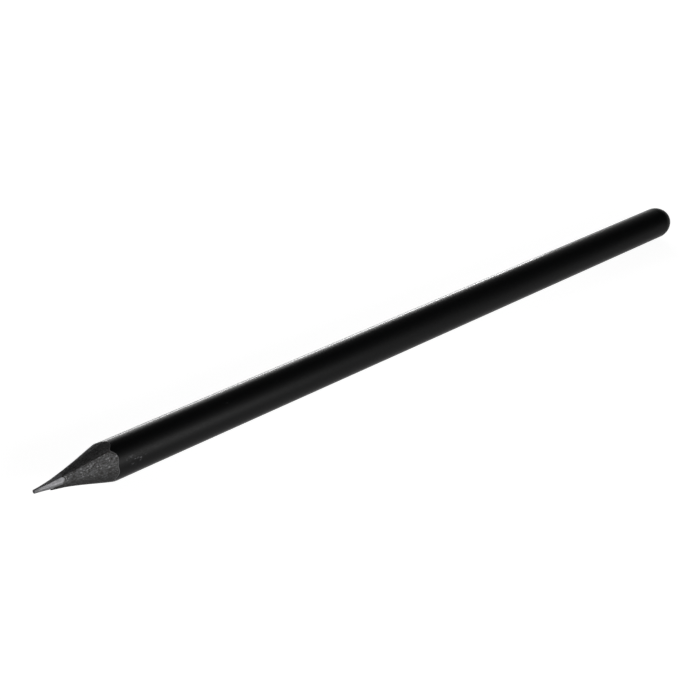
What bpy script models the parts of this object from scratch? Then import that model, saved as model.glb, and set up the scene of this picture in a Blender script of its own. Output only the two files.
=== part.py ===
"""A round wood-cased pencil: a graphite lead glued between two grooved slats, milled round, lacquered,
dipped at one end and sharpened at the other. It lies along X on one flat of its barrel, point toward -X.
"""

import math

import bmesh
import bpy
from mathutils import Vector

# Driving dimensions, in metres and degrees.
LENGTH = 0.175  # tip of the lead to the crown of the dipped end
BARREL_DIAMETER = 0.0072  # across the flats of the lacquered barrel
LACQUER_FILM = 0.0001  # lacquer on the barrel
DIP_FILM = 0.00025  # lacquer over the crown of the rounded end
DOME_DEPTH = 0.0028  # height of the rounded end
LEAD_DIAMETER = 0.0021
LEAD_OFFSET = 0.00015  # the lead sits this far off centre, along the glue line
GLUE_FILM = 0.00004
GLUE_LINE_ANGLE = 119.0  # direction of the glue line around the axis, from +Y toward +Z
POINT_LENGTH = 0.0141  # tip of the lead to the lacquer's edge in the middle of a facet
POINT_HOLLOW = 0.00034  # how far the flanks of the point dip below straight ones
TIP_RADIUS = 0.00025  # blunted tip of the lead
LEAD_RECESS = 0.00003  # the lead's flank wears to this far below the wood's
FIT = 0.00002  # clearance between pieces that touch
CUTTER_REACH = 0.002  # cutters go this far past what they trim

# How finely the round shapes are divided.
BARREL_FLATS = 36
LEAD_FLATS = 32
CASING_STEPS = 19  # around each slat
GROOVE_STEPS = 15  # around each groove
POINT_FACETS = 8
POINT_FACET_STEPS = 12
FACET_CRISPNESS = 26  # higher is a sharper edge between two facets
FLANK_STEPS = 8
TIP_STEPS = 4
DOME_STEPS = 9
SHARP_EDGE_ANGLE = 25.0  # edges that bend more than this are shaded as corners

# Sizes that follow from the driving dimensions.
BARREL_RADIUS = BARREL_DIAMETER / 2
CASING_RADIUS = BARREL_RADIUS - LACQUER_FILM - FIT
LEAD_RADIUS = LEAD_DIAMETER / 2
SLEEVE_BORE = LEAD_RADIUS + FIT
SLEEVE_RADIUS = SLEEVE_BORE + GLUE_FILM
GROOVE_RADIUS = SLEEVE_RADIUS + FIT
GLUE_HALF = GLUE_FILM / 2
SLAT_FACE = GLUE_HALF + FIT
DOME_START = LENGTH - DOME_DEPTH
DOWN = math.radians(-90 - GLUE_LINE_ANGLE)  # the table's side, seen in the pencil's own frame


def material(name, colour, roughness, metallic=0.0):
    made = bpy.data.materials.new(name)
    made.use_nodes = True
    shader = made.node_tree.nodes["Principled BSDF"]
    shader.inputs["Base Color"].default_value = (*colour, 1.0)
    shader.inputs["Roughness"].default_value = roughness
    shader.inputs["Metallic"].default_value = metallic
    return made


def add_object(name, bm, surface=None):
    """Turns a mesh under construction into an object on the pencil's axis. With no surface it is a cutter."""
    bmesh.ops.recalc_face_normals(bm, faces=bm.faces)
    mesh = bpy.data.meshes.new(name)
    bm.to_mesh(mesh)
    bm.free()
    made = bpy.data.objects.new(name, mesh)
    made.parent = pencil_axis
    bpy.context.collection.objects.link(made)
    if surface is None:
        made.hide_render = True
        made.display_type = "WIRE"
    else:
        mesh.materials.append(surface)
        mesh.shade_smooth()
        mesh.set_sharp_from_angle(angle=math.radians(SHARP_EDGE_ANGLE))
    return made


def trim(piece, cutter, operation):
    cut = piece.modifiers.new(cutter.name, "BOOLEAN")
    cut.operation = operation
    cut.solver = "EXACT"
    cut.object = cutter


def circle(radius, flats, start=None, across=0.0):
    """Corners of a round section as (y, z), centred at y = across, with a flat at either end of Y."""
    first = math.pi / flats if start is None else start
    turns = [first + 2 * math.pi * k / flats for k in range(flats)]
    return [(across + radius * math.cos(turn), radius * math.sin(turn)) for turn in turns]


def half_round(radius, height, steps, across=0.0):
    """Points over the upper side of a round section, from one side to the other at the given height."""
    corner = math.asin(height / radius)
    turns = [corner + (math.pi - 2 * corner) * k / steps for k in range(steps + 1)]
    return [(across + radius * math.cos(turn), radius * math.sin(turn)) for turn in turns]


def casing_circle(radius):
    """A section of the whole casing, with the corners of both slats in it."""
    scale = radius / CASING_RADIUS
    above = [(scale * y, scale * z) for y, z in half_round(CASING_RADIUS, SLAT_FACE, CASING_STEPS)]
    return above + [(y, -z) for y, z in above[::-1]]


def barrel_circle(radius):
    """A section whose flats are the given distance from the axis, with one of them face down."""
    half_flat = math.pi / BARREL_FLATS
    return circle(radius / math.cos(half_flat), BARREL_FLATS, DOWN + half_flat)


def facet_circle(radius):
    """A section of the sharpened point: flat facets with softened edges, one edge on each glue line."""
    points = []
    for k in range(POINT_FACETS * POINT_FACET_STEPS):
        turn = 2 * math.pi * k / (POINT_FACETS * POINT_FACET_STEPS)
        facing = [math.cos(turn - 2 * math.pi * (f + 0.5) / POINT_FACETS) for f in range(POINT_FACETS)]
        nearness = sum(max(0.0, share) ** FACET_CRISPNESS for share in facing)
        reach = radius / nearness ** (1 / FACET_CRISPNESS)
        points.append((reach * math.cos(turn), reach * math.sin(turn)))
    return points


def extruded(outline, start, end):
    """A closed bar with the given (y, z) outline, from start to end along the axis."""
    bm = bmesh.new()
    face = bm.faces.new([bm.verts.new((start, y, z)) for y, z in outline])
    pulled = bmesh.ops.extrude_face_region(bm, geom=[face])["geom"]
    bmesh.ops.translate(
        bm,
        vec=Vector((end - start, 0, 0)),
        verts=[item for item in pulled if isinstance(item, bmesh.types.BMVert)],
    )
    return bm


def lofted(stations, section):
    """A closed body through a section at each (x, radius) station. A radius of 0 closes it in a point."""
    bm = bmesh.new()
    rings = []
    for x, radius in stations:
        if radius > 0:
            rings.append([bm.verts.new((x, y, z)) for y, z in section(radius)])
        else:
            rings.append([bm.verts.new((x, 0, 0))])
    for near, far in zip(rings, rings[1:]):
        count = max(len(near), len(far))
        for k in range(count):
            corners = [near[k % len(near)], near[(k + 1) % len(near)]]
            corners += [far[(k + 1) % len(far)], far[k % len(far)]]
            bm.faces.new(list(dict.fromkeys(corners)))
    for end in (rings[0], rings[-1]):
        if len(end) > 1:
            bm.faces.new(end)
    return bm


def flank_radius(x):
    """Distance from the axis to the middle of a facet on the sharpened point."""
    share = x / POINT_LENGTH
    straight = TIP_RADIUS + (BARREL_RADIUS - TIP_RADIUS) * share
    return straight - 4 * POINT_HOLLOW * share * (1 - share)


def dome_sphere(depth, rim_radius):
    """Radius of the sphere that has a cap of this depth on a rim of this radius."""
    return (rim_radius**2 + depth**2) / (2 * depth)


def dome_stations(crown, sphere, first_turn):
    """Stations on a sphere's end, from the given turn away from its crown to the crown."""
    turns = [first_turn * (1 - k / DOME_STEPS) for k in range(DOME_STEPS)]
    stations = [(crown - sphere + sphere * math.cos(turn), sphere * math.sin(turn)) for turn in turns]
    return stations + [(crown, 0.0)]


def add_rounding(name, crown, rim_radius, section):
    """A long round-ended cutter, whose end meets the rim where the rounded end starts."""
    sphere = dome_sphere(crown - DOME_START, rim_radius)
    stations = [(-CUTTER_REACH, sphere)] + dome_stations(crown, sphere, math.pi / 2)
    return add_object(name, lofted(stations, section))


# Start from an empty scene. The axis runs from the tip at the origin of this empty, along its +X.
for old in list(bpy.data.objects):
    bpy.data.objects.remove(old, do_unlink=True)
pencil_axis = bpy.data.objects.new("pencil_axis", None)
pencil_axis.location = (-LENGTH / 2, 0, BARREL_RADIUS)
pencil_axis.rotation_euler = (math.radians(GLUE_LINE_ANGLE), 0, 0)
bpy.context.collection.objects.link(pencil_axis)

graphite = material("graphite", (0.17, 0.17, 0.175), 0.42, 0.55)
dyed_wood = material("dyed_wood", (0.022, 0.021, 0.020), 0.62)
wood_glue = material("wood_glue", (0.055, 0.047, 0.038), 0.5)
black_lacquer = material("black_lacquer", (0.006, 0.006, 0.006), 0.32)


# The sharpener's cut through the casing and its skin, which keeps what lies inside the faceted point.
def add_sharpener():
    reach = POINT_LENGTH + CUTTER_REACH
    steps = [reach * k / FLANK_STEPS for k in range(FLANK_STEPS + 1)]
    stations = [(x, flank_radius(x)) for x in steps]
    stations.append((LENGTH + CUTTER_REACH, flank_radius(reach)))
    return add_object("sharpener", lofted(stations, facet_circle))


# The lead's own point: a blunt tip, then the same flank a little lower.
def add_lead_sharpener():
    neck = flank_radius(TIP_RADIUS) - LEAD_RECESS
    stations = []
    for k in range(TIP_STEPS):
        turn = math.pi / 2 * k / TIP_STEPS
        stations.append((TIP_RADIUS * (1 - math.cos(turn)), neck * math.sin(turn)))
    for k in range(FLANK_STEPS + 1):
        x = TIP_RADIUS + (POINT_LENGTH - TIP_RADIUS) * k / FLANK_STEPS
        stations.append((x, flank_radius(x) - LEAD_RECESS))
    stations.append((LENGTH + CUTTER_REACH, flank_radius(POINT_LENGTH)))
    return add_object("lead_sharpener", lofted(stations, facet_circle))


sharpener = add_sharpener()
lead_sharpener = add_lead_sharpener()
casing_rounding = add_rounding("casing_rounding", LENGTH - DIP_FILM - FIT, CASING_RADIUS, casing_circle)


# The graphite lead, as long as the casing, flush with the casing's rounded end under the dip.
def add_lead():
    outline = circle(LEAD_RADIUS, LEAD_FLATS, across=LEAD_OFFSET)
    lead = add_object("graphite_lead", extruded(outline, -CUTTER_REACH, LENGTH), graphite)
    trim(lead, lead_sharpener, "INTERSECT")
    trim(lead, casing_rounding, "INTERSECT")


# One grooved slat of the casing. Side is 1 for the slat above the glue line and -1 for the one below.
def add_slat(name, side):
    outside = half_round(CASING_RADIUS, SLAT_FACE, CASING_STEPS)
    groove = half_round(GROOVE_RADIUS, SLAT_FACE, GROOVE_STEPS, LEAD_OFFSET)
    outline = [(y, side * z) for y, z in outside + groove[::-1]]
    slat = add_object(name, extruded(outline, 0, LENGTH), dyed_wood)
    trim(slat, sharpener, "INTERSECT")
    trim(slat, casing_rounding, "INTERSECT")


# The glue: a thin sleeve around the lead with a flat film on either side, between the slats.
def add_glue():
    film_end = math.sqrt(CASING_RADIUS**2 - GLUE_HALF**2)
    sleeve = half_round(SLEEVE_RADIUS, GLUE_HALF, GROOVE_STEPS, LEAD_OFFSET)
    above = [(film_end, GLUE_HALF)] + sleeve + [(-film_end, GLUE_HALF)]
    outline = above + [(y, -z) for y, z in above[::-1]]
    glue = add_object("glue_film", extruded(outline, 0, LENGTH), wood_glue)
    bore = circle(SLEEVE_BORE, LEAD_FLATS, across=LEAD_OFFSET)
    sleeve_bore = add_object("sleeve_bore", extruded(bore, -CUTTER_REACH, LENGTH + CUTTER_REACH))
    trim(glue, sleeve_bore, "DIFFERENCE")
    trim(glue, sharpener, "INTERSECT")
    trim(glue, casing_rounding, "INTERSECT")


# The lacquer skin around the barrel, from the point's lobed edge to the rounded end.
def add_lacquer():
    inner = barrel_circle(BARREL_RADIUS - LACQUER_FILM)
    coat = add_object(
        "lacquer_coat", extruded(barrel_circle(BARREL_RADIUS), 0, DOME_START), black_lacquer
    )
    coat_bore = add_object("coat_bore", extruded(inner, -CUTTER_REACH, LENGTH + CUTTER_REACH))
    trim(coat, coat_bore, "DIFFERENCE")
    trim(coat, sharpener, "INTERSECT")


# The dip: a thin dome of lacquer over the rounded end of the casing and the lead.
def add_dip():
    depth = DOME_DEPTH - FIT
    sphere = dome_sphere(depth, BARREL_RADIUS)
    rim_turn = math.atan2(BARREL_RADIUS, sphere - depth)
    dip = add_object("end_dip", lofted(dome_stations(LENGTH, sphere, rim_turn), barrel_circle), black_lacquer)
    dip_hollow = add_rounding("dip_hollow", LENGTH - DIP_FILM, CASING_RADIUS + FIT, barrel_circle)
    trim(dip, dip_hollow, "DIFFERENCE")


add_lead()
add_slat("front_slat", 1)
add_slat("back_slat", -1)
add_glue()
add_lacquer()
add_dip()
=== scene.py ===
"""The looks of a round black pencil: burnished graphite, cut dyed wood and satin lacquer over the solids.

Each piece is drawn around the pencil's axis, by its distance along from the tip, its angle around from +Y
toward +Z, and its distance out from the axis. All sizes are in metres.
"""

import math

import bmesh
import bpy
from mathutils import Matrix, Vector, noise


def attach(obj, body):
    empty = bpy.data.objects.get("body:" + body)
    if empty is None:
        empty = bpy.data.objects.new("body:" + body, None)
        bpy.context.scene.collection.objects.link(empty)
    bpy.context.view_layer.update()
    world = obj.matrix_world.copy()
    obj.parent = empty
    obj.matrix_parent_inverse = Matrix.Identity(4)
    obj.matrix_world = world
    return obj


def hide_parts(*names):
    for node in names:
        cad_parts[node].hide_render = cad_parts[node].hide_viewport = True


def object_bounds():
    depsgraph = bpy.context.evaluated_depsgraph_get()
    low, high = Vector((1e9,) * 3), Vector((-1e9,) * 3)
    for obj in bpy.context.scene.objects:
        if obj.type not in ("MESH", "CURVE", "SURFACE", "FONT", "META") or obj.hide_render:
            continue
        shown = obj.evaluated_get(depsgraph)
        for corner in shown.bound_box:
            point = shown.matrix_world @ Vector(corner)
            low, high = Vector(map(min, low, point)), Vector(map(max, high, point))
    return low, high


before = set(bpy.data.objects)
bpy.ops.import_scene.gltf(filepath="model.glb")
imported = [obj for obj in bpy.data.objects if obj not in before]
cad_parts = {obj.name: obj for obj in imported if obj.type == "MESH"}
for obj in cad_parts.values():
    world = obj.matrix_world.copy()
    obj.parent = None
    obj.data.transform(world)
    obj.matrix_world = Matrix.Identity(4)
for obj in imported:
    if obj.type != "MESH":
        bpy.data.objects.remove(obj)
cad_low, cad_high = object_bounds()

# THE LEAD
# A fired rod of graphite and clay, glued into the casing and sharpened together with it. Eight strokes of the
# blade cut the point, and a light one shaves a ridge. They leave hollow facets and a burnished shine on the
# graphite, and its colour holds a painted sheen on the facet that catches the key light.
LENGTH = cad_high.x - cad_low.x
BARREL_RADIUS = (cad_high.z - cad_low.z) / 2
POINT_LENGTH = 0.0138
POINT_HOLLOW = 0.000365
HOLLOW_BIAS = 1.5
TIP_RADIUS = 0.00035
TIP_ROUNDING = 0.0002
TIP_LEAN = 0.00026
LEAN_TOWARD = math.radians(54)
LEAD_RADIUS = 0.00105
LEAD_OFFSET = 0.00015
LEAD_RECESS = 0.00003
LEAD_UNDERCUT = 0.00006
GLUE_LINE = math.radians(119)
EDGE_CRISPNESS = 42
FACET_FLATNESS = 0.65
# For each stroke: which way its facet faces in degrees, and how far out it lies as a share of the flank.
STROKES = (
    (51.5, 1.056),
    (92.0, 0.943),
    (143.5, 0.951),
    (165.0, 1.0),
    (185.0, 0.976),
    (236.0, 0.978),
    (276.0, 0.985),
    (321.5, 0.98),
    (6.5, 0.99),
)
SEARCH_END = 1e-9
TONGUE_MIDDLE = math.radians(232)
TONGUE_REACH = math.radians(60)
TONGUE_RAMP = math.radians(28)
TONGUE_SLIMNESS = 1.5
DOME_DEPTH = 0.0042
DOME_FULLNESS = 1.8
DIP_FILM = 0.00025
STREAK_DEPTH = 0.000003
STREAKS_ALONG = 400
STREAKS_ACROSS = 14000
LEAD_STEPS_AROUND = 192
LEAD_STEPS_ALONG = 120
TIP_STEPS = 8
# How far the strokes burnished the graphite, by angle in degrees around the point. The same levels paint
# light
# and shade into the colour: a sheen on the facet that catches the key light, and darker facets away from it.
BURNISH_AND_SHEEN = (
    (0, 0.6),
    (116, 0.52),
    (121, 1.0),
    (157, 1.0),
    (168, 0.55),
    (215, 0.35),
    (360, 0.6),
)
WORN_LENGTH = 0.0022
WORN_SHARE = 0.6
# Low levels blend toward this black, which is painted shade on the facets away from the key light.
UNBURNISHED_AND_SHADED = (0.0, 0.0, 0.0)
GRAPHITE_DULL = (0.25, 0.25, 0.259)
GRAPHITE_BRIGHT = (0.42, 0.42, 0.435)
GRAPHITE_WORN = (0.07, 0.07, 0.072)
GRAPHITE_ROUGHNESS = (0.72, 0.62)
# The range that a noise texture mostly keeps to.
NOISE_LOW = 0.3
NOISE_HIGH = 0.7


def place(along, angle, out):
    """A point on the pencil. The sharpened end leans a little off the barrel's axis toward its tip."""
    lean = TIP_LEAN * max(0.0, 1 - along / POINT_LENGTH)
    y = out * math.cos(angle) + lean * math.cos(LEAN_TOWARD)
    z = out * math.sin(angle) + lean * math.sin(LEAN_TOWARD)
    return Vector((cad_low.x + along, y, BARREL_RADIUS + z))


def stroke_shares(along, angle):
    """How strongly each stroke forms a place. Facets are flat at the tip and rounder by the barrel."""
    flatness = 1 - (1 - FACET_FLATNESS) * along / POINT_LENGTH
    shares = []
    for facing, depth in STROKES:
        turned = max(0.0, math.cos(angle - math.radians(facing)))
        shares.append((turned**flatness / depth) ** EDGE_CRISPNESS)
    return shares


def flank(along):
    """Radius of a flank that is hollow along its length, and most of all toward the tip."""
    share = along / POINT_LENGTH
    straight = TIP_RADIUS + (BARREL_RADIUS - TIP_RADIUS) * share
    deepest = 1 / (1 + HOLLOW_BIAS)
    hollow = share * max(0.0, 1 - share) ** HOLLOW_BIAS / (deepest * (1 - deepest) ** HOLLOW_BIAS)
    return straight - POINT_HOLLOW * hollow


def point_radius(along, angle):
    """Radius of the sharpened point's faceted surface."""
    return flank(along) * sum(stroke_shares(along, angle)) ** (-1 / EDGE_CRISPNESS)


def point_along(radius, angle):
    """How far along the sharpened point reaches the given radius, found by halving."""
    low, high = 0.0, 2 * POINT_LENGTH
    while high - low > SEARCH_END:
        middle = (low + high) / 2
        low, high = (middle, high) if point_radius(middle, angle) < radius else (low, middle)
    return low


def bore_radius(radius, angle):
    """Distance from the pencil's axis to a round bore around the lead, which sits off centre."""
    turn = angle - GLUE_LINE
    return LEAD_OFFSET * math.cos(turn) + math.sqrt(radius**2 - (LEAD_OFFSET * math.sin(turn)) ** 2)


def tongue(angle):
    """1 where a tongue of wood is left along the lead's underside, falling to 0 on either side of it."""
    apart = abs(math.remainder(angle - TONGUE_MIDDLE, 2 * math.pi))
    return min(1.0, max(0.0, (TONGUE_REACH - apart) / TONGUE_RAMP)) ** TONGUE_SLIMNESS


def lead_recess(angle):
    """How far the lead has worn below the wood's surface. It lies deepest under the tongue."""
    return LEAD_RECESS + LEAD_UNDERCUT * tongue(angle)


def dome_along(radius, crown, rim_radius):
    """How far along the rounded end, which starts at a rim of one radius, reaches a smaller radius."""
    start = LENGTH - DOME_DEPTH
    return start + (crown - start) * (1 - (radius / rim_radius) ** 2) ** (1 / DOME_FULLNESS)


def skin(name, rings, joined=False, folded=False, sharp=30):
    """A closed mesh through rings of points, with edges sharper than an angle in degrees kept sharp.

    A ring of one point closes an end, and joined rings go round in a loop. Folded rings run out and back, so
    the end ones close between their halves.
    """
    points = []
    starts = []
    for ring in rings:
        starts.append(len(points))
        points.extend(ring)
    faces = []
    pairs = list(zip(range(len(rings)), range(1, len(rings))))
    if joined:
        pairs.append((len(rings) - 1, 0))
    for near, far in pairs:
        count = max(len(rings[near]), len(rings[far]))
        for k in range(count):
            here, beyond = k, (k + 1) % count
            corners = [starts[near] + here % len(rings[near]), starts[near] + beyond % len(rings[near])]
            corners += [starts[far] + beyond % len(rings[far]), starts[far] + here % len(rings[far])]
            faces.append(tuple(dict.fromkeys(corners)))
    if folded:
        last = len(rings[0]) - 1
        for start in (starts[0], starts[-1]):
            for k in range(last // 2):
                faces.append((start + k, start + k + 1, start + last - k - 1, start + last - k))
    mesh = bpy.data.meshes.new(name)
    mesh.from_pydata(points, [], faces)
    body = bmesh.new()
    body.from_mesh(mesh)
    bmesh.ops.recalc_face_normals(body, faces=body.faces)
    body.to_mesh(mesh)
    body.free()
    mesh.shade_smooth()
    mesh.set_sharp_from_angle(angle=math.radians(sharp))
    return mesh


def piece(name, mesh, material):
    """A new object of one mesh and one material."""
    made = bpy.data.objects.new(name, mesh)
    mesh.materials.append(material)
    bpy.context.collection.objects.link(made)
    return made


def turns(count):
    """Angles once around the pencil, starting from the glue line."""
    return [GLUE_LINE + 2 * math.pi * k / count for k in range(count)]


def grain_place(point, along, across):
    """A place in a noise that is stretched along the pencil, with so many features per metre each way."""
    return Vector((along * point.x, across * point.y, across * point.z))


def level_at(angle, levels):
    """A level at an angle, between the nearest ones of a list that starts at 0 degrees and ends at 360."""
    degrees = math.degrees(angle) % 360
    for (start, before), (end, after) in zip(levels, levels[1:]):
        if degrees <= end:
            return before + (after - before) * (degrees - start) / (end - start)


def keep_levels(mesh, name, levels, ring, first=0):
    """Keeps a level at each point for the material to read. Rings of points start from the first one."""
    kept = mesh.attributes.new(name, "FLOAT", "POINT")
    for k, value in enumerate(kept.data):
        value.value = level_at(ring[(k - first) % len(ring)], levels)


def lead_rings():
    around = turns(LEAD_STEPS_AROUND)
    rings = [[place(0, 0, 0)]]
    necks = [point_radius(TIP_ROUNDING, angle) - LEAD_RECESS for angle in around]
    for k in range(1, TIP_STEPS):
        turn = math.pi / 2 * k / TIP_STEPS
        along = TIP_ROUNDING * (1 - math.cos(turn))
        rings.append([place(along, angle, neck * math.sin(turn)) for angle, neck in zip(around, necks)])
    rods = [bore_radius(LEAD_RADIUS, angle) for angle in around]
    ends = [point_along(rod + lead_recess(angle), angle) for angle, rod in zip(around, rods)]
    for k in range(LEAD_STEPS_ALONG + 1):
        share = k / LEAD_STEPS_ALONG
        ring = []
        for angle, end in zip(around, ends):
            recess = lead_recess(angle) * share + LEAD_RECESS * (1 - share)
            along = TIP_ROUNDING + (end - TIP_ROUNDING) * share
            radius = point_radius(along, angle) - recess
            streak = noise.noise(grain_place(place(along, angle, radius), STREAKS_ALONG, STREAKS_ACROSS))
            radius += STREAK_DEPTH * streak * math.sin(math.pi * share)
            ring.append(place(along, angle, radius))
        rings.append(ring)
    crown = LENGTH - DIP_FILM
    far = [dome_along(rod, crown, BARREL_RADIUS) for rod in rods]
    rings.append([place(along, angle, rod) for along, angle, rod in zip(far, around, rods)])
    rings.append([place(crown, 0, 0)])
    return rings


def lead_mesh():
    mesh = skin("lead", lead_rings())
    keep_levels(mesh, "burnish_and_sheen", BURNISH_AND_SHEEN, turns(LEAD_STEPS_AROUND), first=1)
    return mesh


def node(tree, kind, inputs=None, **settings):
    """Adds a node with the given settings. Inputs are values, or other nodes' outputs to link from."""
    made = tree.nodes.new(kind)
    for name, value in settings.items():
        setattr(made, name, value)
    for name, value in (inputs or {}).items():
        if isinstance(value, bpy.types.NodeSocket):
            tree.links.new(value, made.inputs[name])
        else:
            made.inputs[name].default_value = value
    return made


def ramp(tree, value, stops):
    """A colour ramp over a value. Stops are positions with a grey level or a colour."""
    made = node(tree, "ShaderNodeValToRGB", {"Fac": value})
    elements = made.color_ramp.elements
    while len(elements) < len(stops):
        elements.new(1.0)
    for element, (position, colour) in zip(elements, stops):
        element.position = position
        shade = colour if isinstance(colour, tuple) else (colour, colour, colour)
        element.color = (*shade, 1.0)
    return made.outputs["Color"]


def remap(tree, value, low, high, to_low, to_high):
    """A value moved from one range to another, and held inside it."""
    inputs = {"Value": value, "From Min": low, "From Max": high, "To Min": to_low, "To Max": to_high}
    return node(tree, "ShaderNodeMapRange", inputs).outputs["Result"]


def reckon(tree, operation, first, second):
    """Arithmetic on two values."""
    return node(tree, "ShaderNodeMath", {0: first, 1: second}, operation=operation).outputs[0]


def reckon_vector(tree, operation, first, second):
    """Arithmetic on two vectors that gives a vector."""
    inputs = {0: first, 1: second}
    return node(tree, "ShaderNodeVectorMath", inputs, operation=operation).outputs["Vector"]


def blend(tree, share, first, second):
    """A colour between two others. Each is a colour or another node's output."""
    made = node(tree, "ShaderNodeMix", {"Factor": share}, data_type="RGBA")
    for slot, colour in ((6, first), (7, second)):
        if isinstance(colour, bpy.types.NodeSocket):
            tree.links.new(colour, made.inputs[slot])
        else:
            made.inputs[slot].default_value = (*colour, 1.0)
    return made.outputs[2]


def object_place(tree):
    """Where a place on the object is, in the object's own coordinates."""
    return node(tree, "ShaderNodeTexCoord").outputs["Object"]


def distance_along(tree):
    """How far along the pencil a place is, from its middle."""
    return node(tree, "ShaderNodeSeparateXYZ", {0: object_place(tree)}).outputs["X"]


def new_group(name, inputs, output):
    """A shader node group with value inputs and one value output. Returns the tree and its two end nodes."""
    tree = bpy.data.node_groups.new(name, "ShaderNodeTree")
    for label, default in inputs.items():
        socket = tree.interface.new_socket(label, in_out="INPUT", socket_type="NodeSocketFloat")
        socket.default_value = default
    tree.interface.new_socket(output, in_out="OUTPUT", socket_type="NodeSocketFloat")
    return tree, tree.nodes.new("NodeGroupInput"), tree.nodes.new("NodeGroupOutput")


def use_group(tree, group, **inputs):
    """Places a node group with some of its inputs set, and returns its output."""
    return node(tree, "ShaderNodeGroup", inputs, node_tree=group).outputs[0]


def stretched_grain(tree, given):
    """Coordinates stretched along the pencil, from a group's Along and Across in features per metre."""
    across = given.outputs["Across"]
    stretch = node(tree, "ShaderNodeCombineXYZ", {"X": given.outputs["Along"], "Y": across, "Z": across})
    return reckon_vector(tree, "MULTIPLY", object_place(tree), stretch.outputs[0])


def crooked_grain(tree, given):
    """Stretched coordinates that sway from place to place, so shapes drawn over them come out uneven."""
    grain = stretched_grain(tree, given)
    sway = node(tree, "ShaderNodeTexNoise", {"Vector": grain, "Scale": 1.6, "Detail": 2.0})
    return reckon_vector(tree, "ADD", grain, sway.outputs["Color"])


def blade_scores():
    """Lines that a blade scores along the pencil, as a value from 0 to 1."""
    tree, given, result = new_group("Blade scores", {"Along": 300.0, "Across": 9000.0}, "Score")
    grain = stretched_grain(tree, given)
    lines = node(tree, "ShaderNodeTexNoise", {"Vector": grain, "Scale": 1.0, "Detail": 3.0})
    tree.links.new(lines.outputs["Fac"], result.inputs["Score"])
    return tree


def scattered_flecks():
    """Small separate flecks, stretched along the pencil, as a mask. Amount is the share of cells with one."""
    sizes = {"Along": 1500.0, "Across": 5000.0, "Amount": 0.3, "Size": 0.3}
    tree, given, result = new_group("Scattered flecks", sizes, "Fleck")
    cells = node(tree, "ShaderNodeTexVoronoi", {"Vector": crooked_grain(tree, given), "Scale": 1.0})
    pick = node(tree, "ShaderNodeSeparateColor", {"Color": cells.outputs["Color"]})
    chosen = reckon(tree, "LESS_THAN", pick.outputs[0], given.outputs["Amount"])
    inside = remap(tree, cells.outputs["Distance"], 0.0, given.outputs["Size"], 1.0, 0.0)
    tree.links.new(reckon(tree, "MULTIPLY", chosen, inside), result.inputs["Fleck"])
    return tree


BLADE_SCORES = blade_scores()
SCATTERED_FLECKS = scattered_flecks()


def surface(name):
    """A new material with its node tree and its shader."""
    made = bpy.data.materials.new(name)
    made.use_nodes = True
    return made, made.node_tree, made.node_tree.nodes["Principled BSDF"]


def add_bump(tree, shader, height, strength, distance):
    """Raises a surface where the height is greater."""
    bump = node(tree, "ShaderNodeBump", {"Height": height, "Strength": strength, "Distance": distance})
    tree.links.new(bump.outputs["Normal"], shader.inputs["Normal"])


def graphite():
    made, tree, shader = surface("burnished_graphite")
    score = use_group(tree, BLADE_SCORES, Along=350.0, Across=9000.0)
    pits = use_group(tree, SCATTERED_FLECKS, Along=3000.0, Across=9000.0, Amount=0.25, Size=0.35)
    scored = ramp(tree, score, ((NOISE_LOW, GRAPHITE_DULL), (NOISE_HIGH, GRAPHITE_BRIGHT)))
    # Painted sheen and shade: the colour is brightest on the facet that catches the key light, darker on the
    # others.
    burnish_and_sheen = node(tree, "ShaderNodeAttribute", attribute_name="burnish_and_sheen").outputs["Fac"]
    burnished = blend(tree, burnish_and_sheen, UNBURNISHED_AND_SHADED, scored)
    worn = remap(tree, distance_along(tree), cad_low.x, cad_low.x + WORN_LENGTH, WORN_SHARE, 0.0)
    tree.links.new(blend(tree, worn, burnished, GRAPHITE_WORN), shader.inputs["Base Color"])
    roughness = remap(tree, score, NOISE_LOW, NOISE_HIGH, *GRAPHITE_ROUGHNESS)
    tree.links.new(roughness, shader.inputs["Roughness"])
    shader.inputs["Metallic"].default_value = 0.9
    add_bump(tree, shader, reckon(tree, "SUBTRACT", score, pits), strength=0.5, distance=0.00001)
    return made


lead = piece("lead", lead_mesh(), graphite())
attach(lead, "root")
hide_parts("graphite_lead")

# THE TWO SLATS
# Dyed soft wood, planed flat, grooved for the lead, glued face to face and milled round. Some strokes of the
# blade slice the fibres clean, and others tear them, so the point shows pits and pale flecks along the grain.
# The colour also paints a sheen and glints on the facet that catches the key light, and shade underneath.
GLUE_FILM = 0.00004
FIT = 0.000008
LACQUER_FILM = 0.00003
GROOVE_RADIUS = LEAD_RADIUS + GLUE_FILM + 2 * FIT
SLAT_FACE = GLUE_FILM / 2 + FIT
CASING_RADIUS = BARREL_RADIUS - LACQUER_FILM - FIT / 2
CASING_CROWN = LENGTH - DIP_FILM - FIT
SLAT_LIP = 0.00005
TONGUE_LENGTH = 0.00105
TONGUE_LIFT = 0.0001
TONGUE_LIFT_FADE = 0.0018
EDGE_RAGGEDNESS = 0.00007
COARSE_RAGS = 4
FINE_RAGS = 15
FINE_RAG_SHARE = 0.5
FIBRE_HEIGHT = 0.000004
FIBRES_ALONG = 600
FIBRES_ACROSS = 4500
LUMP_HEIGHT = 0.000018
LUMPS_ALONG = 2200
LUMPS_ACROSS = 3600
PORE_DEPTH = 0.00003
PORE_WIDTH = 0.45
PORES_ALONG = 1500.0
PORES_ACROSS = 3300.0
# How each finer layer of a noise fades, how many times finer it is, and how many layers there are.
FIBRE_LAYERS = (0.8, 2.1, 3)
LUMP_LAYERS = (0.9, 2.0, 2)
RELIEF_FADE = 12
SLAT_STEPS_AROUND = 190
CUT_STEPS = 150
DOME_STEPS = 12
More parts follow.
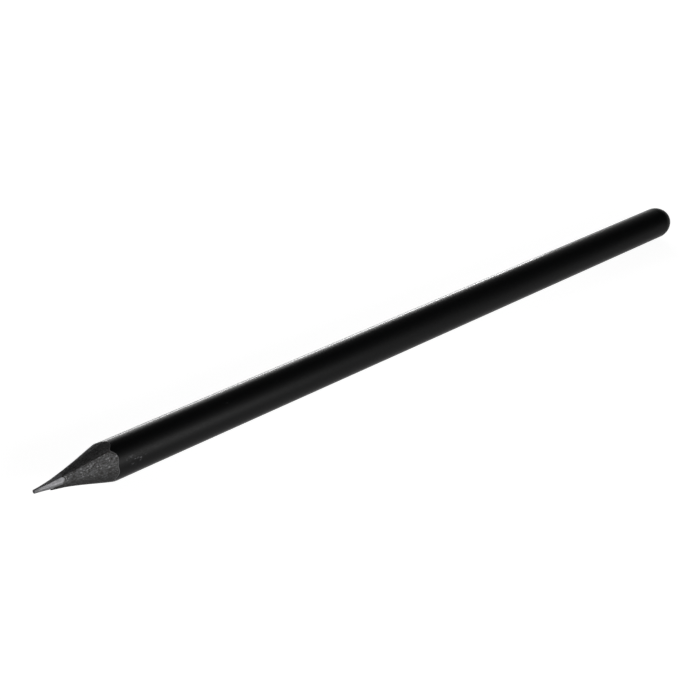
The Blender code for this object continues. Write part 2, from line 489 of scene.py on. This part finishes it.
# How far the wood tore around the point, by angle in degrees: 0 where it was sliced clean, 1 where it broke.
# The
# levels also paint light and shade: a sheen on the facet that catches the key light and on the top back
# facet, and shade on the facets underneath.
TEARS_AND_SHEEN = (
    (0, 0.7),
    (72, 0.9),
    (76, 0.66),
    (116, 0.66),
    (121, 1.0),
    (151, 1.0),
    (195, 0.48),
    (250, 0.3),
    (300, 0.6),
    (360, 0.7),
)
GRAIN_LOW = 0.40
GRAIN_HIGH = 0.62
CRACK_SHARE = 0.32
OPENED_CONTRAST = 2.0
BROKEN_CONTRAST = 3.0
SLICED_DARK = (0.015, 0.015, 0.015)
SLICED_PALE = (0.027, 0.0265, 0.026)
# Colours where the fibres tore, which also carry a painted sheen, brighter than the dyed wood itself.
TORN_SHEEN_DARK = (0.055, 0.053, 0.051)
TORN_SHEEN_PALE = (0.157, 0.158, 0.162)
PORE_COLOUR = (0.013, 0.010, 0.008)
# Pale flecks of fibre, partly painted glints.
FLECK_AND_GLINT_COLOUR = (0.37, 0.37, 0.378)
WOOD_ROUGHNESS = (0.72, 0.58)


def edge_noise(angle, count, layer):
    """A noise that runs around the point's edge, with a larger count for finer rags."""
    return noise.noise(Vector((count * math.cos(angle), count * math.sin(angle), layer)))


def wood_start(angle):
    """Where the wood's thin ragged front edge ends on the lead. A tongue is left along the underside."""
    edge = point_along(bore_radius(GROOVE_RADIUS, angle), angle)
    ragged = edge_noise(angle, COARSE_RAGS, layer=0.5)
    ragged += FINE_RAG_SHARE * edge_noise(angle, FINE_RAGS, layer=3.5)
    return edge + EDGE_RAGGEDNESS * ragged - TONGUE_LENGTH * tongue(angle)


def wood_relief(point, torn_and_sheen):
    """Height of the cut wood above or below the stroke's plane: raised fibres, and pores where the fibres
    tore.
    """
    fibre = noise.fractal(grain_place(point, FIBRES_ALONG, FIBRES_ACROSS), *FIBRE_LAYERS)
    lump = noise.fractal(grain_place(point, LUMPS_ALONG, LUMPS_ACROSS), *LUMP_LAYERS)
    nearest = noise.voronoi(grain_place(point, PORES_ALONG, PORES_ACROSS))[0][0]
    pore = max(0.0, 1 - nearest / PORE_WIDTH) ** 2
    return FIBRE_HEIGHT * (1 + torn_and_sheen) * fibre + torn_and_sheen * (LUMP_HEIGHT * lump - PORE_DEPTH * pore)


def tongue_lift(behind, angle):
    """How far the tongue's thin end lifts off the lead, at a distance behind the wood's front edge."""
    return TONGUE_LIFT * tongue(angle) * math.exp(-((behind / TONGUE_LIFT_FADE) ** 2))


def fade_at_ends(share, steepness):
    """1 along most of a length, falling to 0 at both of its ends."""
    return min(1.0, steepness * share, steepness * (1 - share))


def slat_arc(first_angle):
    """Angles across a slat, from one glued face to the other."""
    corner = math.asin(SLAT_FACE / GROOVE_RADIUS)
    step = (math.pi - 2 * corner) / SLAT_STEPS_AROUND
    return [first_angle + corner + step * k for k in range(SLAT_STEPS_AROUND + 1)]


def slat_ring(arc, alongs, outers, inners):
    """One section of a slat: over the outside and back along the groove."""
    outside = [place(along, angle, out) for angle, along, out in zip(arc, alongs, outers)]
    inside = [place(along, angle, out) for angle, along, out in zip(arc, alongs, inners)]
    return outside + inside[::-1]


def slat_rings(arc):
    grooves = [bore_radius(GROOVE_RADIUS, angle) for angle in arc]
    starts = [wood_start(angle) for angle in arc]
    ends = [point_along(CASING_RADIUS, angle) for angle in arc]
    tears_and_sheen = [level_at(angle, TEARS_AND_SHEEN) for angle in arc]
    rings = []
    for k in range(CUT_STEPS + 1):
        share = k / CUT_STEPS
        fade = fade_at_ends(share, RELIEF_FADE)
        alongs = [start + (end - start) * share for start, end in zip(starts, ends)]
        outers = []
        inners = []
        for angle, along, start, groove, torn_and_sheen in zip(arc, alongs, starts, grooves, tears_and_sheen):
            cut = point_radius(along, angle)
            relief = wood_relief(place(along, angle, cut), torn_and_sheen)
            outers.append(cut + tongue_lift(along - start, angle) + fade * relief)
            inners.append(min(groove, cut - lead_recess(angle) + FIT / 2))
        rings.append(slat_ring(arc, alongs, outers, inners))
    for k in range(DOME_STEPS + 1):
        drop = 1 - math.cos(math.pi / 2 * k / DOME_STEPS)
        outers = [CASING_RADIUS + (groove + SLAT_LIP - CASING_RADIUS) * drop for groove in grooves]
        alongs = [dome_along(out, CASING_CROWN, CASING_RADIUS) for out in outers]
        rings.append(slat_ring(arc, alongs, outers, grooves))
    return rings


def slat_mesh(name, first_angle):
    arc = slat_arc(first_angle)
    mesh = skin(name, slat_rings(arc), folded=True)
    keep_levels(mesh, "torn_and_sheen", TEARS_AND_SHEEN, arc + arc[::-1])
    return mesh


def torn_cracks():
    """Thin crooked gaps between bundles of fibres that tore apart, as a mask. Width is a share of a bundle.
    """
    sizes = {"Along": 1700.0, "Across": 2600.0, "Width": 0.12}
    tree, given, result = new_group("Torn cracks", sizes, "Crack")
    inputs = {"Vector": crooked_grain(tree, given), "Scale": 1.0}
    bundles = node(tree, "ShaderNodeTexVoronoi", inputs, feature="DISTANCE_TO_EDGE")
    gap = remap(tree, bundles.outputs["Distance"], 0.0, given.outputs["Width"], 1.0, 0.0)
    tree.links.new(gap, result.inputs["Crack"])
    return tree


TORN_CRACKS = torn_cracks()


def dyed_wood():
    made, tree, shader = surface("dyed_cut_wood")
    # The tear level paints light as well: a sheen on the facet that catches the key light, shade underneath.
    torn_and_sheen = node(tree, "ShaderNodeAttribute", attribute_name="torn_and_sheen").outputs["Fac"]
    broken = reckon(tree, "POWER", torn_and_sheen, BROKEN_CONTRAST)
    score = use_group(tree, BLADE_SCORES, Along=900.0, Across=6000.0)
    grains = use_group(tree, BLADE_SCORES, Along=2800.0, Across=4800.0)
    strands = use_group(tree, BLADE_SCORES, Along=650.0, Across=3000.0)
    grain = reckon(tree, "MULTIPLY", reckon(tree, "ADD", grains, strands), 0.5)
    sliced = ramp(tree, score, ((NOISE_LOW, SLICED_DARK), (NOISE_HIGH, SLICED_PALE)))
    opened_and_sheen = ramp(tree, grain, ((GRAIN_LOW, TORN_SHEEN_DARK), (GRAIN_HIGH, TORN_SHEEN_PALE)))
    fibre = blend(tree, reckon(tree, "POWER", torn_and_sheen, OPENED_CONTRAST), sliced, opened_and_sheen)
    pores = use_group(tree, SCATTERED_FLECKS, Along=PORES_ALONG, Across=PORES_ACROSS, Amount=0.35, Size=0.4)
    cracks = reckon(tree, "MULTIPLY", use_group(tree, TORN_CRACKS), CRACK_SHARE)
    pits = reckon(tree, "MULTIPLY", reckon(tree, "MAXIMUM", pores, cracks), broken)
    pitted = blend(tree, pits, fibre, PORE_COLOUR)
    # Pale flecks where the fibres broke: partly pale fibre ends, partly painted glints, most on the lit
    # facet.
    scattered = use_group(tree, SCATTERED_FLECKS, Along=2300.0, Across=3700.0, Amount=0.36, Size=0.55)
    flecks = reckon(tree, "MULTIPLY", scattered, broken)
    tree.links.new(blend(tree, flecks, pitted, FLECK_AND_GLINT_COLOUR), shader.inputs["Base Color"])
    roughness = remap(tree, score, NOISE_LOW, NOISE_HIGH, *WOOD_ROUGHNESS)
    tree.links.new(roughness, shader.inputs["Roughness"])
    shader.inputs["Specular IOR Level"].default_value = 0.06
    fibres = reckon(tree, "ADD", score, reckon(tree, "MULTIPLY", grain, torn_and_sheen))
    height = reckon(tree, "ADD", fibres, reckon(tree, "SUBTRACT", flecks, pits))
    add_bump(tree, shader, height, strength=0.6, distance=0.00002)
    return made


wood = dyed_wood()
near_slat = piece("near_slat", slat_mesh("near_slat", GLUE_LINE), wood)
far_slat = piece("far_slat", slat_mesh("far_slat", GLUE_LINE + math.pi), wood)
for slat, solid in ((near_slat, "front_slat"), (far_slat, "back_slat")):
    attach(slat, "root")
    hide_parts(solid)

# THE GLUE
# A thin film of wood glue that joins the slats and holds the lead in its groove. Only its edge shows, as a
# dark line along the point and a ring around the graphite.
SLEEVE_RADIUS = LEAD_RADIUS + FIT + GLUE_FILM
SLEEVE_BORE = LEAD_RADIUS + FIT
GLUE_STEPS = 40
GLUE_DARK = (0.030, 0.027, 0.024)
GLUE_PALE = (0.06, 0.054, 0.047)


def glue_sleeve():
    around = turns(LEAD_STEPS_AROUND)
    outer = [bore_radius(SLEEVE_RADIUS, angle) for angle in around]
    inner = [bore_radius(SLEEVE_BORE, angle) for angle in around]
    far = [dome_along(out, CASING_CROWN, CASING_RADIUS) for out in outer]
    return [
        [place(point_along(out, angle), angle, out) for angle, out in zip(around, outer)],
        [place(along, angle, out) for angle, along, out in zip(around, far, outer)],
        [place(along, angle, out) for angle, along, out in zip(around, far, inner)],
        [place(point_along(out, angle), angle, out) for angle, out in zip(around, inner)],
    ]


def glue_fin(angle):
    """One side of the flat film, from the sleeve out to the lacquer."""
    rings = []
    root = bore_radius(SLEEVE_RADIUS, angle) - GLUE_FILM / 2
    for k in range(GLUE_STEPS + 1):
        out = root + (CASING_RADIUS - root) * k / GLUE_STEPS
        half_turn = GLUE_FILM / 2 / out
        front = point_along(out, angle)
        end = dome_along(out, CASING_CROWN, CASING_RADIUS)
        corners = ((front, -1), (front, 1), (end, 1), (end, -1))
        rings.append([place(along, angle + side * half_turn, out) for along, side in corners])
    return rings


def wood_glue():
    made, tree, shader = surface("dried_wood_glue")
    specks = use_group(tree, SCATTERED_FLECKS, Along=4000.0, Across=9000.0)
    tint = ramp(tree, specks, ((0.0, GLUE_DARK), (1.0, GLUE_PALE)))
    tree.links.new(tint, shader.inputs["Base Color"])
    shader.inputs["Roughness"].default_value = 0.5
    return made


glue_material = wood_glue()
glue = piece("glue", skin("glue", glue_sleeve(), joined=True), glue_material)
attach(glue, "root")
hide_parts("glue_film")
for side, angle in (("upper", GLUE_LINE), ("lower", GLUE_LINE + math.pi)):
    fin = piece("glue_" + side, skin("glue_" + side, glue_fin(angle), folded=True), glue_material)
    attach(fin, "root")

# THE LACQUER
# Several thin coats of black satin lacquer that fuse into one skin around the barrel. The sharpening cuts it
# off in shallow lobes, with a thin paler line along the film's cut edge, and the blade has nicked the skin.
BARREL_STEPS_AROUND = 256
BARREL_STEPS_ALONG = 160
BARREL_SHARP_EDGE = 8
RIM_STEPS = 3
RIM_DEPTH = 0.000005
WAVE_HEIGHT = 0.000002
WAVES_ALONG = 180
WAVES_ACROSS = 700
WAVE_FADE = 10
NICKED_PLACE = place(0.0175, math.radians(168), BARREL_RADIUS)
NICKED_REACH = (0.0025, 0.0011, 0.0011)
NICKED_MIDDLE = 0.3
PEEL_SCALE = 2500.0
SATIN_ROUGHNESS = (0.46, 0.52)
GLOSS_START = 0.55
GLOSS_FULL = 0.72
GLOSS_SHARE = 0.6
LACQUER_BLACK = (0.0015, 0.0016, 0.0017)
DUST_COLOUR = (0.03, 0.03, 0.03)
NICK_COLOUR = (0.12, 0.12, 0.127)
CUT_EDGE_COLOUR = (0.11, 0.11, 0.112)


def lacquer_rings():
    around = turns(BARREL_STEPS_AROUND)
    bore = BARREL_RADIUS - LACQUER_FILM
    dome_start = LENGTH - DOME_DEPTH
    starts = [point_along(BARREL_RADIUS, angle) for angle in around]
    rings = []
    for k in range(RIM_STEPS + 1):
        out = bore + LACQUER_FILM * k / RIM_STEPS
        rings.append([place(point_along(out, angle), angle, out) for angle in around])
    for k in range(1, BARREL_STEPS_ALONG + 1):
        share = k / BARREL_STEPS_ALONG
        ring = []
        for angle, start in zip(around, starts):
            along = start + (dome_start - start) * share
            where = grain_place(place(along, angle, BARREL_RADIUS), WAVES_ALONG, WAVES_ACROSS)
            wave = WAVE_HEIGHT * noise.noise(where)
            sunk = (wave - WAVE_HEIGHT) * fade_at_ends(share, WAVE_FADE)
            ring.append(place(along, angle, BARREL_RADIUS + sunk))
        rings.append(ring)
    rings.append([place(dome_start, angle, bore) for angle in around])
    return rings


def vector_length(tree, vector):
    return node(tree, "ShaderNodeVectorMath", {0: vector}, operation="LENGTH").outputs["Value"]


def cut_lacquer(tree, where, black):
    """The lacquer's colour by the point: pale nicks in the skin, and a paler edge where the film was cut."""
    scattered = use_group(tree, SCATTERED_FLECKS, Along=1900.0, Across=2600.0, Amount=0.5, Size=0.55)
    apart = reckon_vector(tree, "SUBTRACT", where, NICKED_PLACE)
    spread = vector_length(tree, reckon_vector(tree, "DIVIDE", apart, NICKED_REACH))
    nicks = reckon(tree, "MULTIPLY", remap(tree, spread, NICKED_MIDDLE, 1.0, 1.0, 0.0), scattered)
    nicked = blend(tree, nicks, black, NICK_COLOUR)
    from_middle = reckon_vector(tree, "SUBTRACT", where, (0, 0, BARREL_RADIUS))
    out = vector_length(tree, reckon_vector(tree, "MULTIPLY", from_middle, (0, 1, 1)))
    cut_edge = remap(tree, out, BARREL_RADIUS - 2 * RIM_DEPTH, BARREL_RADIUS - RIM_DEPTH, 1.0, 0.0)
    return blend(tree, cut_edge, nicked, CUT_EDGE_COLOUR)


def satin_lacquer(name, cut):
    """Black lacquer with dust specks and a fine peel, and glossier at a grazing angle.

    Where the blade has cut it, it also has nicks and a paler rim.
    """
    made, tree, shader = surface(name)
    where = object_place(tree)
    specks = use_group(tree, SCATTERED_FLECKS, Along=900.0, Across=900.0, Amount=0.03, Size=0.12)
    shade = ramp(tree, specks, ((0.0, LACQUER_BLACK), (1.0, DUST_COLOUR)))
    if cut:
        shade = cut_lacquer(tree, where, shade)
    tree.links.new(shade, shader.inputs["Base Color"])
    noise_inputs = {"Vector": where, "Scale": PEEL_SCALE, "Detail": 2.0}
    peel = node(tree, "ShaderNodeTexNoise", noise_inputs).outputs["Fac"]
    roughness = remap(tree, peel, NOISE_LOW, NOISE_HIGH, *SATIN_ROUGHNESS)
    tree.links.new(roughness, shader.inputs["Roughness"])
    shader.inputs["Specular IOR Level"].default_value = 0.09
    grazing = node(tree, "ShaderNodeLayerWeight", {"Blend": 0.5}).outputs["Facing"]
    gloss = remap(tree, grazing, GLOSS_START, GLOSS_FULL, 0.0, GLOSS_SHARE)
    tree.links.new(gloss, shader.inputs["Coat Weight"])
    shader.inputs["Coat Roughness"].default_value = 0.1
    shader.inputs["Coat IOR"].default_value = 1.06
    add_bump(tree, shader, peel, strength=0.2, distance=0.00001)
    return made


lacquer = satin_lacquer("black_satin_lacquer", cut=True)
coat_mesh = skin("lacquer_skin", lacquer_rings(), joined=True, sharp=BARREL_SHARP_EDGE)
coat = piece("lacquer_skin", coat_mesh, lacquer)
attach(coat, "root")
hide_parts("lacquer_coat")

# THE DIPPED END
# The far end of the casing is turned round and then dipped, so a thicker cap of the same lacquer closes it.
# Its inside follows the rounded wood, and its rim meets the end of the barrel's skin.
DIP_STEPS = 40


def dip_rings():
    around = turns(BARREL_STEPS_AROUND)
    inner_rim = CASING_RADIUS + FIT / 2
    inner_crown = LENGTH - DIP_FILM
    rings = [[place(inner_crown, 0, 0)]]
    for k in range(1, DIP_STEPS + 1):
        out = inner_rim * math.sin(math.pi / 2 * k / DIP_STEPS)
        along = dome_along(out, inner_crown, inner_rim)
        rings.append([place(along, angle, out) for angle in around])
    for k in range(DIP_STEPS):
        out = BARREL_RADIUS * math.cos(math.pi / 2 * k / DIP_STEPS)
        along = dome_along(out, LENGTH, BARREL_RADIUS)
        rings.append([place(along, angle, out) for angle in around])
    rings.append([place(LENGTH, 0, 0)])
    return rings


dip = piece("dipped_end", skin("dipped_end", dip_rings()), satin_lacquer("dipped_lacquer", cut=False))
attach(dip, "root")
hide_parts("end_dip")

# THE STUDIO
# A plain white floor, with a white sweep behind the pencil that falls off into a dark room in front of it.
# A low soft light stands in front of the point, and a long one behind gives the line of light on the top.
FLOOR_SIZE = 6.0
FLOOR_GREY = (0.5, 0.5, 0.5, 1.0)
FLOOR_LIFT = 0.9
FLOOR_FADE = 0.6
WHITE = (1.0, 1.0, 1.0)
SWEEP_DIRECTION = (0.2, 0.75, -0.63)
# How bright the room is, from straight away from the sweep at 0 to straight toward it at 1.
SWEEP_SHADES = ((0.35, 0.012), (0.48, 0.045), (0.55, 0.2), (0.64, 0.75), (0.75, 1.0))
KEY_DIRECTION = Vector((0.33, -0.92, 0.135)).normalized()
KEY_DISTANCE = 0.20
KEY_SIZE = 0.11
KEY_POWER = 0.46
STRIP_PLACE = Vector((0.33, 0.55, 0.06))
STRIP_SIZE = (0.42, 0.1)
STRIP_POWER = 3.0


def white_floor():
    """A white floor that keeps the pencil's shadow. Its mirror image fades toward the rounded end."""
    made, tree, shader = surface("white_floor")
    shader.inputs["Base Color"].default_value = FLOOR_GREY
    shader.inputs["Roughness"].default_value = 0.9
    shader.inputs["Specular IOR Level"].default_value = 0.0
    shader.inputs["Emission Color"].default_value = (*WHITE, 1.0)
    fading = remap(tree, distance_along(tree), -LENGTH / 2, LENGTH / 2, 1.0, FLOOR_FADE)
    path = node(tree, "ShaderNodeLightPath").outputs
    mirrored = reckon(tree, "MAXIMUM", path["Is Glossy Ray"], path["Is Transmission Ray"])
    shown = reckon(tree, "MAXIMUM", path["Is Camera Ray"], reckon(tree, "MULTIPLY", mirrored, fading))
    tree.links.new(reckon(tree, "MULTIPLY", shown, FLOOR_LIFT), shader.inputs["Emission Strength"])
    return made


floor_mesh = bpy.data.meshes.new("floor")
half = FLOOR_SIZE / 2
floor_corners = [(-half, -half, 0), (half, -half, 0), (half, half, 0), (-half, half, 0)]
floor_mesh.from_pydata(floor_corners, [], [(0, 1, 2, 3)])
floor = piece("floor", floor_mesh, white_floor())

world = bpy.data.worlds.new("studio")
world.use_nodes = True
bpy.context.scene.world = world
room = world.node_tree
looking = node(room, "ShaderNodeTexCoord").outputs["Generated"]
facing = node(room, "ShaderNodeVectorMath", {0: looking, 1: SWEEP_DIRECTION}, operation="DOT_PRODUCT")
toward_sweep = remap(room, facing.outputs["Value"], -1.0, 1.0, 0.0, 1.0)
sweep = ramp(room, toward_sweep, SWEEP_SHADES)
seen = node(room, "ShaderNodeLightPath").outputs["Is Camera Ray"]
room.links.new(blend(room, seen, sweep, WHITE), room.nodes["Background"].inputs["Color"])


def softbox(name, location, target, power):
    """A soft area light that faces the target and is not itself in view."""
    light = bpy.data.lights.new(name, "AREA")
    light.energy = power
    lamp = bpy.data.objects.new(name, light)
    lamp.location = location
    lamp.rotation_euler = (location - target).to_track_quat("Z", "Y").to_euler()
    lamp.visible_camera = False
    bpy.context.collection.objects.link(lamp)
    return light


lacquer_edge = place(POINT_LENGTH, 0, 0)
key = softbox("key_softbox", lacquer_edge + KEY_DISTANCE * KEY_DIRECTION, lacquer_edge, KEY_POWER)
key.shape = "DISK"
key.size = KEY_SIZE
strip = softbox("back_strip", STRIP_PLACE, Vector((0, 0, BARREL_RADIUS)), STRIP_POWER)
strip.shape = "RECTANGLE"
strip.size, strip.size_y = STRIP_SIZE

# THE CAMERA
# It stands in front of the pencil and past its point, and looks down along it as the photograph does. Its
# dip is in degrees below level, and its turn is in degrees from +Y toward +X.
CAMERA_PLACE = (-0.16654, -0.16041, 0.11999)
CAMERA_DIP = 27.739
CAMERA_TURN = 42.878
camera = bpy.data.cameras.new("camera")
camera.lens = 65.377
camera.sensor_width = 36.0
camera.clip_start = 0.01
viewpoint = bpy.data.objects.new("camera", camera)
viewpoint.location = CAMERA_PLACE
viewpoint.rotation_euler = (math.radians(90 - CAMERA_DIP), 0, math.radians(-CAMERA_TURN))
bpy.context.collection.objects.link(viewpoint)
bpy.context.scene.camera = viewpoint
bpy.context.scene.view_settings.view_transform = "Standard"
